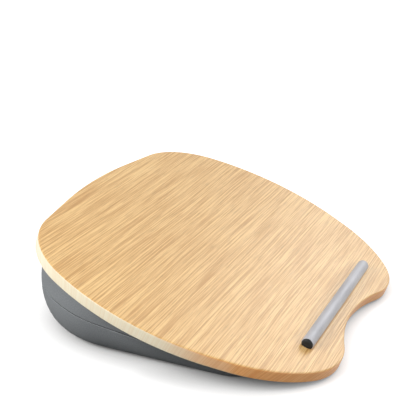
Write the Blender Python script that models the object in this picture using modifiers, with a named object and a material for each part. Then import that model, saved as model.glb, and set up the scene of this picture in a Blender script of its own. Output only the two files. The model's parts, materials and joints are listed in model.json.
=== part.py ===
"""A lap desk: a wood-grain board with a stopper bar, held by hook-and-loop tape on a wedge cushion.

Sizes are in metres and +Z is up. The user sits at -Y. The origin is on the floor, under the middle
of the desk. The board lies in a tilted plane, whose own axes are x, v up the slope and w square to it.
"""

import math

import bmesh
import bpy
from mathutils import Vector

# Board
board_width = 0.407
board_depth = 0.312
board_thickness = 0.0104
board_tilt_deg = 14.1
board_front_gap = 0.0015
wrap_thickness = 0.0009
backing_thickness = 0.0005
rim_round = 0.0013
rim_round_steps = 3

# Corners of the board's +X half, from the middle of its front edge to the middle of its rear edge:
# shares of the half width and of the depth, and each fillet as a share of the half width
board_corner_shares = (
    (0.0, 0.088, 0.948),
    (0.504, -0.027, 0.359),
    (0.830, 0.128, 0.727),
    (1.081, 0.548, 1.007),
    (0.818, 0.949, 0.442),
    (0.0, 1.013, 2.800),
)

# Stopper bar and the tape under it
bar_length = 0.206
bar_radius = 0.006
bar_height = 0.0087
bar_end_round = 0.0035
bar_set_back = 0.033
bar_sides = 32
bar_end_steps = 4
adhesive_length = 0.19
adhesive_width = 0.007
adhesive_thickness = 0.0005

# Hook-and-loop tape between the board and the cushion
fastener_length = 0.07
fastener_width = 0.02
fastener_corner = 0.003
fastener_thickness = 0.0007
fastener_side_set_in = 0.08
fastener_rear_set_in = 0.035
fastener_front_set_in = 0.043

# Cushion: its overhangs are measured from the board's own outline
cushion_rear_side_overhang = 0.0053
cushion_front_side_overhang = 0.0297
cushion_rear_set_back = 0.0153
cushion_front_set_back = 0.0364
cushion_front_recess = 0.0101
cushion_rear_corner = 0.0847
cushion_front_corner = 0.0532
cushion_front_curve = 0.25
floor_round_width = 0.0271
floor_round_height = 0.047
fabric_thickness = 0.0015
top_panel_thickness = 0.001
foam_clearance = 0.0006

# The seam between the upper band and the lower panel rises to the rear
seam_rear_height = 0.0438
seam_rise_share = 0.131
seam_draw = 0.0005
seam_draw_full_band = 0.02
band_least_height = 0.002
band_blend = 0.004
panel_crown = 0.0004
band_level_shares = (0.0, 0.2, 0.6, 1.0)
lower_level_shares = (0.0, 0.2, 0.4, 0.6, 0.8, 0.94, 1.0)

# Zip in the straight middle of the rear seam
zip_corner_set_in = 0.0145
zip_pitch = 0.005
zip_chain_width = 0.0052
zip_spine_width = 0.0013
zip_teeth_thickness = 0.0018
zip_tape_width = 0.007
zip_tape_thickness = 0.0006
zip_tape_end = 0.006
zip_stop_length = 0.002
zip_window_margin = 0.0006
slider_length = 0.011
slider_wall = 0.0012
slider_edge_round = 0.0004
bridge_length = 0.007
bridge_width = 0.0016
bridge_bar = 0.0012
bridge_opening_length = 0.0034
bridge_opening_height = 0.0018
pull_length = 0.02
pull_width = 0.0054
pull_thickness = 0.001
pull_end_bar = 0.0012
pull_eye_length = 0.0044
pull_eye_width = 0.0026
pull_corner = 0.0012
pull_tip_corner = 0.0022

# Allowances
clearance = 0.0003
overrun = 0.002
outline_flatness = 0.00025
cushion_flatness = 0.0003
small_flatness = 0.0001
longest_span = 0.03
merge_distance = 0.000005
flat_angle_deg = 1.0
sharp_angle_deg = 35.0
solver_rounds = 40

tilt = math.radians(board_tilt_deg)


def clear_scene():
    for obj in list(bpy.data.objects):
        bpy.data.objects.remove(obj)


def new_collection(name):
    made = bpy.data.collections.new(name)
    bpy.context.scene.collection.children.link(made)
    return made


def frame(name, place, turn):
    """An empty that carries pieces."""
    made = bpy.data.objects.new(name, None)
    pieces.objects.link(made)
    made.location = place
    made.rotation_euler = turn
    return made


def add_object(name, mesh, parent, place=(0, 0, 0), turn=(0, 0, 0), among=None):
    made = bpy.data.objects.new(name, mesh)
    (among or pieces).objects.link(made)
    made.parent = parent
    made.location = place
    made.rotation_euler = turn
    return made


def make_cutter(obj):
    obj.hide_render = True
    obj.display_type = "WIRE"
    return obj


def finish(obj, colour, roughness, metallic=0.0):
    """Gives the object its own material."""
    material = bpy.data.materials.new(obj.name + "_finish")
    material.use_nodes = True
    shader = material.node_tree.nodes["Principled BSDF"]
    shader.inputs["Base Color"].default_value = (*colour, 1.0)
    shader.inputs["Roughness"].default_value = roughness
    shader.inputs["Metallic"].default_value = metallic
    obj.data.materials.clear()
    obj.data.materials.append(material)
    return obj


def smooth(obj):
    obj.data.shade_smooth()
    obj.data.set_sharp_from_angle(angle=math.radians(sharp_angle_deg))
    return obj


def cut(obj, cutter, operation="DIFFERENCE"):
    modifier = obj.modifiers.new(cutter.name, "BOOLEAN")
    modifier.operation = operation
    modifier.solver = "EXACT"
    modifier.object = cutter


def round_edges(obj, width, steps):
    modifier = obj.modifiers.new("rounded_edges", "BEVEL")
    modifier.width = width
    modifier.segments = steps
    modifier.limit_method = "ANGLE"
    modifier.angle_limit = math.radians(sharp_angle_deg)


def box(name, low, high, parent, among=None):
    """A box between two corners, given in the parent's axes."""
    low, high = Vector(low), Vector(high)
    bm = bmesh.new()
    bmesh.ops.create_cube(bm, size=1)
    bmesh.ops.scale(bm, vec=high - low, verts=bm.verts)
    mesh = bpy.data.meshes.new(name)
    bm.to_mesh(mesh)
    bm.free()
    return add_object(name, mesh, parent, (low + high) / 2, among=among)


def box_cutter(name, low, high, parent):
    return make_cutter(box(name, low, high, parent, cutters))


def mirrored_outline(half):
    """A closed outline from its +X half, which runs from the front to the rear."""
    return half + [(-x, y, radius) for x, y, radius in reversed(half) if x > 0]


def turn_at(before, corner, after):
    """The angle by which an outline turns at a corner, positive to the left."""
    into, out = corner - before, after - corner
    return math.atan2(into.cross(out), into.dot(out))


def fillet_radii(places, corners, turns):
    """Each corner's radius, made smaller where two fillets would meet on one edge."""
    reach = [c[2] * math.tan(abs(t) / 2) for c, t in zip(corners, turns)]
    radii = []
    for i, corner in enumerate(corners):
        after = (i + 1) % len(corners)
        room_before = (places[i] - places[i - 1]).length / max(reach[i] + reach[i - 1], merge_distance)
        room_after = (places[after] - places[i]).length / max(reach[i] + reach[after], merge_distance)
        radii.append(corner[2] * min(1, room_before, room_after))
    return radii


def rounded_outline(corners, flatness, span=None):
    """Points and inward normals round a closed outline of (x, y, fillet radius), turning left.

    Arcs are stepped to stay within flatness of the true curve, and edges longer than span are divided.
    """
    places = [Vector(c[:2]) for c in corners]
    count = len(places)
    turns = [turn_at(places[i - 1], places[i], places[(i + 1) % count]) for i in range(count)]
    radii = fillet_radii(places, corners, turns)
    outline = []
    for i, radius in enumerate(radii):
        along = (places[i] - places[i - 1]).normalized()
        inward = along.orthogonal()
        inward *= 1 if along.cross(inward) > 0 else -1
        start = places[i] - along * (radius * math.tan(abs(turns[i]) / 2))
        if outline and span:
            outline += divided(outline[-1], start, inward, span)
        outline += arc(start, inward, turns[i], radius, flatness)
    if span:
        outline += divided(outline[-1], outline[0][0], outline[0][1], span)
    return outline


def divided(last, start, inward, span):
    """The points that divide a straight stretch."""
    count = math.ceil((start - last[0]).length / span)
    return [(last[0].lerp(start, k / count), inward.copy()) for k in range(1, count)]


def arc(start, inward, turn, radius, flatness):
    """Points and inward normals along one fillet."""
    side = 1 if turn > 0 else -1
    centre = start + inward * (radius * side)
    step = 2 * math.acos(1 - min(flatness / radius, 0.5))
    count = max(1, math.ceil(abs(turn) / step))
    points = []
    for k in range(count + 1):
        angle = turn * k / count
        cosine, sine = math.cos(angle), math.sin(angle)
        normal = Vector((inward.x * cosine - inward.y * sine, inward.x * sine + inward.y * cosine))
        points.append((centre - normal * (radius * side), normal))
    return points


def moved_in(outline, distance):
    return [(point + normal * distance, normal) for point, normal in outline]


def plain(points):
    """An outline of bare points, for a shape with sharp corners."""
    return [(Vector(point), None) for point in points]


def plate_mesh(name, outlines, thickness):
    """A flat plate with these outlines, the second and later ones being holes."""
    curve = bpy.data.curves.new(name, "CURVE")
    curve.dimensions = "2D"
    curve.fill_mode = "BOTH"
    curve.extrude = thickness / 2
    for outline in outlines:
        spline = curve.splines.new("POLY")
        spline.points.add(len(outline) - 1)
        for target, (point, _) in zip(spline.points, outline):
            target.co = (point.x, point.y, 0, 1)
        spline.use_cyclic_u = True
    guide = bpy.data.objects.new(name, curve)
    bpy.context.scene.collection.objects.link(guide)
    graph = bpy.context.evaluated_depsgraph_get()
    mesh = bpy.data.meshes.new_from_object(guide.evaluated_get(graph))
    bpy.data.objects.remove(guide)
    bpy.data.curves.remove(curve)
    bm = bmesh.new()
    bm.from_mesh(mesh)
    bmesh.ops.remove_doubles(bm, verts=bm.verts, dist=merge_distance)
    bmesh.ops.dissolve_limit(
        bm, angle_limit=math.radians(flat_angle_deg), verts=bm.verts, edges=bm.edges
    )
    bmesh.ops.recalc_face_normals(bm, faces=bm.faces)
    bm.to_mesh(mesh)
    bm.free()
    mesh.name = name
    return mesh


def plate(name, outlines, bottom, thickness, parent, among=None):
    """A plate whose underside is at height bottom in the parent's axes."""
    mesh = plate_mesh(name, outlines, thickness)
    return add_object(name, mesh, parent, (0, 0, bottom + thickness / 2), among=among)


def loft(name, rings, parent, closed=False):
    """A solid through rings with as many points each, capped at both ends, or closed on itself."""
    bm = bmesh.new()
    loops = [[bm.verts.new(point) for point in ring] for ring in rings]
    pairs = list(zip(loops, loops[1:]))
    if closed:
        pairs.append((loops[-1], loops[0]))
    else:
        bm.faces.new(list(reversed(loops[0])))
        bm.faces.new(loops[-1])
    for low, high in pairs:
        for i in range(len(low)):
            bm.faces.new((low[i - 1], low[i], high[i], high[i - 1]))
    mesh = bpy.data.meshes.new(name)
    bm.to_mesh(mesh)
    bm.free()
    return smooth(add_object(name, mesh, parent))


def board_corners():
    half_width = board_width / 2
    return [(x * half_width, v * board_depth, r * half_width) for x, v, r in board_corner_shares]


def board_rear_and_front(outline):
    """World y of the board's rear and front limits, measured from its own origin."""
    rear = max(point.y for point, _ in outline)
    front = min(point.y for point, _ in outline)
    return rear * math.cos(tilt), front * math.cos(tilt) - board_thickness * math.sin(tilt)


def plane_height(w):
    """The height, for each world y, of the plane at w above the board's underside."""
    return lambda y: board_front_gap + (y - origin_y) * math.tan(tilt) + w / math.cos(tilt)


def seam_height(y):
    """The seam's height: a straight rise, held below the band's least height at the front."""
    straight = seam_rear_height - (cushion_rear_y - y) * seam_rise_share
    limit = band_top(y) - band_least_height
    return (straight + limit - math.hypot(straight - limit, band_blend)) / 2


def wall_place(column, height, offset):
    """A point on the cushion's wall at this height of its profile, moved in by offset, square to it."""
    point, inward = column
    drop = min(1, max(0, 1 - height / floor_round_height))
    rise = math.sqrt(1 - drop**2)
    across, up = floor_round_height * rise, floor_round_width * drop
    size = math.hypot(across, up)
    spot = point + inward * (floor_round_width * (1 - rise) + offset * across / size)
    return Vector((spot.x, spot.y, height + offset * up / size))


def wall_height(column, surface, offset):
    """The height on the profile where the wall, moved in by offset, meets a surface over y."""
    height = 0
    for _ in range(solver_rounds):
        place = wall_place(column, height, offset)
        height += surface(place.y) - place.z
    return height


def draw_in(column, share):
    """How far the fabric stands in from the plain wall: drawn in at the seam, crowned between."""
    place = wall_place(column, wall_height(column, band_top, 0), 0)
    band = band_top(place.y) - seam_height(place.y)
    full = min(1, band / seam_draw_full_band)
    drawn = seam_draw if share in (0, 1) else 0
    return full * (drawn - panel_crown * math.sin(math.pi * share))


def band_ring(share, depth, gap=0):
    """A ring of the upper band's wall, from the seam at share 0 to the band's top at share 1."""
    ring = []
    for column in columns:
        offset = depth + (draw_in(column, share) if share < 1 else 0)

        def level(y):
            return (seam_height(y) + gap) * (1 - share) + band_top(y) * share

        ring.append(wall_place(column, wall_height(column, level, offset), offset))
    return ring


def lower_ring(share, depth, gap=0):
    """A ring of the lower panel's wall, from the floor at share 0 to the seam at share 1."""
    ring = []
    for column in columns:
        offset = depth + (draw_in(column, share) if share > 0 else 0)
        seam = wall_height(column, lambda y: seam_height(y) - gap, offset)
        ring.append(wall_place(column, seam * (1 - math.cos(math.pi / 2 * share)), offset))
    return ring


def make_board():
    outline = board_outline
    inner = moved_in(outline, wrap_thickness + clearance)
    wrap = plate("wood_grain_wrap", [outline], 0, board_thickness, board_frame)
    round_edges(wrap, rim_round, rim_round_steps)
    pocket_top = board_thickness - wrap_thickness
    pocket = plate(
        "wrap_pocket_cutter",
        [moved_in(outline, wrap_thickness)],
        -overrun,
        pocket_top + overrun,
        board_frame,
        cutters,
    )
    cut(wrap, make_cutter(pocket))
    finish(smooth(wrap), (0.80, 0.60, 0.38), 0.45)
    core_bottom = backing_thickness + clearance
    core_thickness = pocket_top - clearance - core_bottom
    core = plate("board_core", [inner], core_bottom, core_thickness, board_frame)
    finish(core, (0.45, 0.33, 0.20), 0.8)
    backing = plate("underside_backing", [inner], 0, backing_thickness, board_frame)
    finish(backing, (0.32, 0.27, 0.22), 0.6)


def bar_profile():
    """Half of the bar's lengthwise section, from one end to the other."""
    half = bar_length / 2
    corner = bar_radius - bar_end_round
    arc_points = []
    for k in range(bar_end_steps + 1):
        angle = math.pi / 2 * k / bar_end_steps
        x = corner + bar_end_round * math.sin(angle)
        z = half - bar_end_round + bar_end_round * math.cos(angle)
        arc_points.append((x, z))
    return [(0, half), *arc_points, *[(x, -z) for x, z in reversed(arc_points)], (0, -half)]


def make_stopper_bar():
    foot = board_thickness + clearance
    axis = foot + bar_height - bar_radius
    bm = bmesh.new()
    verts = [bm.verts.new((x, 0, z)) for x, z in bar_profile()]
    for first, second in zip(verts, verts[1:]):
        bm.edges.new((first, second))
    mesh = bpy.data.meshes.new("stopper_bar")
    bm.to_mesh(mesh)
    bm.free()
    bar = add_object(
        "stopper_bar", mesh, board_frame, (0, bar_set_back, axis), (0, math.pi / 2, 0)
    )
    turned = bar.modifiers.new("turned", "SCREW")
    turned.steps = turned.render_steps = bar_sides
    turned.use_merge_vertices = True
    turned.merge_threshold = merge_distance
    turned.use_smooth_shade = True
    reach, side = bar_length / 2 + overrun, bar_radius + overrun
    cut(bar, box_cutter(
        "bar_foot_cutter",
        (-reach, bar_set_back - side, axis - side),
        (reach, bar_set_back + side, foot),
        board_frame,
    ))
    groove = adhesive_thickness + clearance
    cut(bar, box_cutter(
        "bar_groove_cutter",
        (-adhesive_length / 2 - clearance, bar_set_back - adhesive_width / 2 - clearance, foot - overrun),
        (adhesive_length / 2 + clearance, bar_set_back + adhesive_width / 2 + clearance, foot + groove),
        board_frame,
    ))
    finish(bar, (0.72, 0.72, 0.74), 0.35, 0.8)
    strip = box(
        "stopper_adhesive_strip",
        (-adhesive_length / 2, bar_set_back - adhesive_width / 2, foot),
        (adhesive_length / 2, bar_set_back + adhesive_width / 2, foot + adhesive_thickness),
        board_frame,
    )
    finish(strip, (0.85, 0.85, 0.82), 0.6)


def make_fasteners():
    """Four pairs of hook and loop strips, one above the other."""
    half_length, half_width = fastener_length / 2, fastener_width / 2
    corners = [
        (-half_length, -half_width, fastener_corner),
        (half_length, -half_width, fastener_corner),
        (half_length, half_width, fastener_corner),
        (-half_length, half_width, fastener_corner),
    ]
    outline = rounded_outline(corners, small_flatness)
    rear_x = cushion_rear_half_width - fastener_side_set_in
    rear_v = board_depth - cushion_rear_set_back - fastener_rear_set_in
    front_x = cushion_front_half_width - fastener_side_set_in
    front_v = cushion_front_set_back + fastener_front_set_in
    spots = {
        "rear_left": (-rear_x, rear_v),
        "rear_right": (rear_x, rear_v),
        "front_left": (-front_x, front_v),
        "front_right": (front_x, front_v),
    }
    kinds = (
        ("hook_strip", board_frame, hook_top - fastener_thickness, (0.20, 0.20, 0.21)),
        ("loop_strip", cushion_top_frame, loop_top - fastener_thickness, (0.30, 0.31, 0.32)),
    )
    for kind, parent, bottom, colour in kinds:
        mesh = plate_mesh(kind, [outline], fastener_thickness)
        for spot, (x, v) in spots.items():
            place = (x, v, bottom + fastener_thickness / 2)
            strip = add_object(f"{kind}_{spot}", mesh, parent, place)
            if not mesh.materials:
                finish(strip, colour, 0.95)


def make_cushion():
    half_gap = clearance / 2
    lower = [lower_ring(share, 0, half_gap) for share in lower_level_shares]
    lower += [lower_ring(share, fabric_thickness, half_gap) for share in reversed(lower_level_shares)]
    panel = loft("cushion_lower_panel", lower, None)
    finish(panel, (0.17, 0.18, 0.19), 0.95)
    band = [band_ring(share, 0, half_gap) for share in band_level_shares]
    band += [band_ring(share, fabric_thickness, half_gap) for share in reversed(band_level_shares)]
    upper = loft("cushion_upper_band", band, None, closed=True)
    finish(upper, (0.26, 0.27, 0.29), 0.95)
    depth = fabric_thickness + foam_clearance
    rings = [lower_ring(share, depth) for share in lower_level_shares]
    rings += [band_ring(share, depth) for share in band_level_shares[1:]]
    foam = loft("foam_wedge", rings, None)
    finish(foam, (0.80, 0.74, 0.60), 0.95)
    edges = []
    for w in (panel_top - top_panel_thickness, panel_top):
        surface = plane_height(w)
        edges.append([wall_place(c, wall_height(c, surface, 0), 0) for c in columns])
    top = loft("cushion_top_panel", edges, None)
    finish(top, (0.25, 0.26, 0.28), 0.95)
    return panel, upper, foam


def comb_outline():
    """The upper half of the closed chain: a spine with teeth that reach down between the others'."""
    half, top = zip_chain_length / 2, zip_chain_width / 2
    root = top - zip_spine_width
    tip = -(root - clearance)
    half_tooth = (zip_pitch / 2 - clearance) / 2
    points = [(half, top), (-half, top), (-half, root)]
    for k in range(zip_tooth_count):
        middle = -half + zip_pitch * (k + 1 / 4)
        points += [(middle - half_tooth, root), (middle - half_tooth, tip)]
        points += [(middle + half_tooth, tip), (middle + half_tooth, root)]
    points.append((half, root))
    return plain(points)


def make_zip(panel, upper, foam):
    """The zip lies in a window in the fabric. Its frame has +x to the left, y up and z to the rear."""
    tape_front = -zip_tape_depth
    teeth_back = tape_front + clearance
    slider_half = zip_chain_width / 2 + clearance + slider_wall
    window_height = slider_half + clearance * 2
    window_length = zip_chain_length / 2 + clearance + zip_stop_length + zip_window_margin
    window = box_cutter(
        "zip_window_cutter",
        (-window_length, -window_height, -fabric_thickness - overrun),
        (window_length, window_height, overrun),
        zip_frame,
    )
    cut(panel, window)
    cut(upper, window)
    tape_length = zip_chain_length / 2 + zip_tape_end
    recess = box_cutter(
        "zip_recess_cutter",
        (-tape_length - clearance, -zip_tape_width - clearance, tape_front - zip_tape_thickness - clearance),
        (tape_length + clearance, zip_tape_width + clearance, overrun),
        zip_frame,
    )
    cut(foam, recess)
    tape = box(
        "zip_tape_upper",
        (-tape_length, clearance, tape_front - zip_tape_thickness),
        (tape_length, zip_tape_width, tape_front),
        zip_frame,
    )
    finish(tape, (0.12, 0.12, 0.13), 0.9)
    lower_tape = add_object("zip_tape_lower", tape.data, zip_frame, tape.location, (0, 0, math.pi))
    lower_tape.location.y = -tape.location.y
    teeth = plate("zip_teeth_upper", [comb_outline()], teeth_back, zip_teeth_thickness, zip_frame)
    finish(teeth, (0.08, 0.08, 0.09), 0.5)
    add_object("zip_teeth_lower", teeth.data, zip_frame, teeth.location, (0, 0, math.pi))
    for name, side in (("zip_stop_left", 1), ("zip_stop_right", -1)):
        middle = side * (zip_chain_length / 2 + clearance + zip_stop_length / 2)
        stop = box(
            name,
            (middle - zip_stop_length / 2, -zip_chain_width / 2, teeth_back),
            (middle + zip_stop_length / 2, zip_chain_width / 2, teeth_back + zip_teeth_thickness),
            zip_frame,
        )
        finish(stop, (0.55, 0.55, 0.56), 0.35, 0.9)
    make_slider(teeth_back, teeth_back + zip_teeth_thickness + clearance, slider_half)


def make_slider(back, inner_face, half_width):
    """The slider wraps the chain from outside, and its bridge carries the pull tab."""
    half = slider_length / 2
    closed_at = -(zip_chain_length / 2 - clearance - half)
    rail = frame("zip_slider_frame", (closed_at, 0, 0), (0, 0, 0))
    rail.parent = zip_frame
    plate_front = inner_face + slider_wall
    slider = box("zip_slider", (-half, -half_width, back), (half, half_width, plate_front), rail)
    channel = half_width - slider_wall
    cut(slider, box_cutter(
        "slider_channel_cutter",
        (-half - overrun, -channel, back - overrun),
        (half + overrun, channel, inner_face),
        rail,
    ))
    bridge_top = plate_front + bridge_opening_height + bridge_bar
    bridge = make_cutter(box(
        "slider_bridge",
        (-bridge_length / 2, -bridge_width / 2, plate_front - slider_wall / 2),
        (bridge_length / 2, bridge_width / 2, bridge_top),
        rail,
        cutters,
    ))
    cut(slider, bridge, "UNION")
    cut(slider, box_cutter(
        "bridge_opening_cutter",
        (-bridge_opening_length / 2, -half_width, plate_front),
        (bridge_opening_length / 2, half_width, plate_front + bridge_opening_height),
        rail,
    ))
    round_edges(slider, slider_edge_round, 2)
    finish(slider, (0.55, 0.55, 0.56), 0.35, 0.9)
    make_pull_tab(rail, plate_front + bridge_opening_height / 2)


def make_pull_tab(rail, axis_height):
    """The tab swings on its end bar, which passes under the slider's bridge."""
    near, far = -pull_end_bar / 2, pull_length - pull_end_bar / 2
    half = pull_width / 2
    outer = rounded_outline(
        [
            (near, -half, pull_corner),
            (far, -half, pull_tip_corner),
            (far, half, pull_tip_corner),
            (near, half, pull_corner),
        ],
        small_flatness,
    )
    eye_near, eye_half = pull_end_bar / 2, pull_eye_width / 2
    eye_far = eye_near + pull_eye_length
    eye = plain([
        (eye_near, -eye_half),
        (eye_far, -eye_half),
        (eye_far, eye_half),
        (eye_near, eye_half),
    ])
    mesh = plate_mesh("zip_pull_tab", [outer, eye], pull_thickness)
    tab = add_object("zip_pull_tab", mesh, rail, (0, 0, axis_height))
    finish(tab, (0.50, 0.50, 0.51), 0.35, 0.9)


clear_scene()
pieces = new_collection("lap_desk")
cutters = new_collection("lap_desk_cutters")

board_outline = rounded_outline(mirrored_outline(board_corners()), outline_flatness)
board_rear, board_front = board_rear_and_front(board_outline)
origin_y = -(board_rear + board_front) / 2
board_frame = frame("board_frame", (0, origin_y, board_front_gap), (tilt, 0, 0))
cushion_top_frame = frame("cushion_top_frame", (0, origin_y, board_front_gap), (tilt, 0, 0))

hook_top = -clearance
loop_top = hook_top - fastener_thickness - clearance
panel_top = loop_top - fastener_thickness - clearance
band_top = plane_height(panel_top - top_panel_thickness - clearance)

cushion_rear_y = (board_depth - cushion_rear_set_back) * math.cos(tilt) + origin_y
cushion_front_y = cushion_front_set_back * math.cos(tilt) + origin_y
cushion_rear_half_width = board_width / 2 - cushion_rear_side_overhang
cushion_front_half_width = board_width / 2 - cushion_front_side_overhang
columns = rounded_outline(
    mirrored_outline([
        (0, cushion_front_y + cushion_front_recess, cushion_front_curve),
        (cushion_front_half_width, cushion_front_y, cushion_front_corner),
        (cushion_rear_half_width, cushion_rear_y, cushion_rear_corner),
    ]),
    cushion_flatness,
    longest_span,
)

rear_straight_end = max(point.x for point, _ in columns if cushion_rear_y - point.y < merge_distance)
zip_tooth_count = math.floor((rear_straight_end - zip_corner_set_in) * 2 / zip_pitch)
zip_chain_length = zip_pitch * zip_tooth_count
rear_column = (Vector((0, cushion_rear_y)), Vector((0, -1)))
zip_place = wall_place(rear_column, wall_height(rear_column, seam_height, 0), 0)
tape_foot = wall_place(rear_column, zip_place.z - zip_tape_width, 0)
zip_tape_depth = fabric_thickness + clearance + zip_place.y - tape_foot.y
zip_frame = frame("zip_frame", zip_place, (math.pi / 2, 0, math.pi))

make_board()
make_stopper_bar()
make_fasteners()
make_zip(*make_cushion())
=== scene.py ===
"""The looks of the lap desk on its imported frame: a wood-grain board on a stuffed wedge cushion.

Lengths are in metres and +Z is up. The user sits at -Y. The board has axes of its own: x, v up its
slope and w square to it.
"""

import json
import math
from collections import namedtuple

import bmesh
import bpy
import numpy as np
from mathutils import Matrix, Vector, noise


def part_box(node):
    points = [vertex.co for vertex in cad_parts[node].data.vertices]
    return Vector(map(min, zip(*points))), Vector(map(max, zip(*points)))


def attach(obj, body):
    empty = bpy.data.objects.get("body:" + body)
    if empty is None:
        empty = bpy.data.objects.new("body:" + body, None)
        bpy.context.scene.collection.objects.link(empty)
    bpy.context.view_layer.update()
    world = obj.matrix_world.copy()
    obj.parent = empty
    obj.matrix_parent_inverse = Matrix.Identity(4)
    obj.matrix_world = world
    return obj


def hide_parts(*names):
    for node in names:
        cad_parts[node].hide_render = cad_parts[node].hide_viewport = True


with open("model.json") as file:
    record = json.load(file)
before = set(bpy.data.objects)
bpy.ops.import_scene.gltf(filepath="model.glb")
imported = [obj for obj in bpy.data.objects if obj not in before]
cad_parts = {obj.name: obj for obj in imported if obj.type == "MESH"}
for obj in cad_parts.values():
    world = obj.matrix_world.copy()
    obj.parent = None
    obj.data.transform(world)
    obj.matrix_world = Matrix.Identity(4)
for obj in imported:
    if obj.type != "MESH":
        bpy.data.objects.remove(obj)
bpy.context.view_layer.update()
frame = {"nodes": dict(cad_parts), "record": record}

# Camera: a pinhole fitted to the photograph
camera_place = (-0.962517, -0.321463, 0.482998)
camera_turn_deg = (69.07004, -5.53758, -67.74426)
camera_lens_mm = 98.990
camera_sensor_mm = 36
camera_clip = (0.01, 30)

# Board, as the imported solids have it
board_width = 0.407
board_depth = 0.312
board_thickness = 0.0104
board_front_gap = 0.0015
tilt = math.radians(14.1)
wrap_thickness = 0.0009
top_round = 0.0013
bottom_round = 0.0004
flat_top_inset = top_round * 3
rim_steps = 5
rim_wall_steps = 4
rim_turn = 0.9
board_span = 0.0025

# Corners of the board's +X half: x and the fillet's radius as shares of its half width, and
# between them v as a share of its depth
board_corner_shares = (
    (0.0, 0.088, 0.948),
    (0.504, -0.027, 0.359),
    (0.830, 0.128, 0.727),
    (1.081, 0.548, 1.007),
    (0.818, 0.949, 0.442),
    (0.0, 1.013, 2.800),
)

# Stopper bar, with its tape's groove by length, width and depth
bar_length = 0.206
bar_radius = 0.006
bar_height = 0.0087
bar_end_round = 0.0035
bar_set_back = 0.033
bar_sides = 72
bar_end_steps = 8
# How far a face of the bar turns to x before it takes the end's painted shade
bar_end_shade_turn = 0.5
bar_groove = (0.1906, 0.0076, 0.0008)

# Cushion, its corner radii from the front's middle to the rear
cushion_rear_side_overhang = 0.0053
cushion_front_side_overhang = 0.0297
cushion_rear_set_back = 0.0153
cushion_front_set_back = 0.0364
cushion_front_recess = 0.0101
cushion_corner_radii = (0.25, 0.0532, 0.0847)
cushion_span = 0.003
floor_round_width = 0.0271
floor_round_height = 0.047
fabric_thickness = 0.0014
panel_drop = 0.0023
panel_thickness = 0.001
panel_lap = 0.004
panel_edge_round = 0.0004
foam_depth = 0.0025
foam_rows = 12

# Seam: how far the fabric is drawn in there, and the groove with its rolled lips and thread
seam_rear_height = 0.0438
seam_rise_share = 0.131
band_least_height = 0.002
band_blend = 0.004
seam_draw = 0.0009
seam_draw_full_band = 0.02
seam_gap = 0.0010
seam_lip = 0.0005
seam_lip_share = 0.3
seam_depth_share = 1.4
seam_thread_depth = 0.0005
seam_thread_slack = 0.00005

# Stuffing: the cloth's rows, pressure and frames, its greatest swell, and a slight waver
held_rows = (8, 6)
cloth_columns_step = 2
swell_pressure = 4.0
swell_frames = 20
fullness = 0.0010
waver_size = 0.00012
waver_around = 28
waver_up = 40
panel_rows = 20
inner_rows = 6
lip_steps = 4

# Zip, its window by length and height
zip_window = (0.1858, 0.0094)
zip_window_reach = fabric_thickness * 3
bevels = {"zip_metal": 0.00025, "zip_teeth": 0.00012}
bevel_segments = 2

# Stitches, with the profile of one: shares of its length, its lift and size in thread radii
stitch_set_back = 0.0018
stitch_pitch = 0.0032
stitch_length = 0.0024
stitch_sides = 6
thread_radius = 0.00022
stitch_profile = ((0, -1.2, 0.7), (0.12, 0.1, 1), (0.5, 0.5, 1.1), (0.88, 0.1, 1), (1, -1.2, 0.7))
sewing_reach = foam_depth * 4

# Meshes
clearance = 0.0003
merge_distance = 0.000005
least_span_share = 0.25
solver_rounds = 40
sharp_angle = math.radians(35)
texture_layer = "cloth_or_grain"

# Noise in the materials: cells a metre along each axis
Grain = namedtuple("Grain", "scale detail roughness distortion", defaults=(0.5, 0.0))
grains = {
    "wood_sway": Grain((3, 7, 1), 1),
    "wood_figure": Grain((3, 60, 1), 2),
    "wood_band": Grain((8, 640, 1), 2),
    "wood_fibre": Grain((20, 1100, 1), 3, 0.7),
    "wood_pore": Grain((40, 1500, 1), 2),
    "cloth_fleck": Grain((900, 900, 1), 2),
    "cloth_cloud": Grain((22, 22, 22), 2),
    "fibreboard": Grain((900, 900, 1600), 4, 0.7),
    "backing_fine": Grain((1400, 1400, 1400), 3, 0.6),
    "backing_broad": Grain((8, 60, 60), 2),
    "bar_drawn": Grain((12, 4200, 4200), 3, 0.6),
    "bar_cloud": Grain((30, 120, 120), 2),
    "bar_end_shade": Grain((1500, 1500, 1500), 3),
    "adhesive": Grain((900, 900, 900), 2),
    "loop_tape": Grain((1100, 1100, 1100), 4, 0.7, 1.5),
    "zip_fleck": Grain((1500, 1500, 1500), 2),
    "zip_teeth": Grain((500, 500, 500), 2),
    "zip_metal": Grain((700, 900, 2600), 4, 0.65),
}

# Waves and cells in the materials, in the same units
weave_scale = (650, 650, 1)
hook_row_scale = (420, 0, 0)
hook_line_scale = (0, 380, 0)
foam_cell_scale = (700, 700, 700)
zip_rib_scale = (1000, 300, 1000)
thread_twist_scale = (2600, 2600, 2600)

# How the patterns mix, and the values that noise and waves mostly run between
wood_sway_reach = 0.007
wood_weights = (0.07, 0.52, 0.41)
wood_pore_edges = (0.58, 0.68)
wood_pore_tone = 0.55
wood_pore_depth = 0.6
wood_pores = 0.4
# The rim's painted light: the pores that show in its lit pale copy, and the normal's y over which
# it turns from the shaded brown copy to the lit pale one
lit_rim_pores = 0.12
rim_light_facing = (-0.42, -0.14)
cloth_weights = (0.7, 0.3)
cloth_fleck_height = 0.5
backing_weights = (0.5, 0.5)
zip_tape_weights = (0.6, 0.4)
noise_span = (0.3, 0.7)
wave_span = (0, 1)

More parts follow.
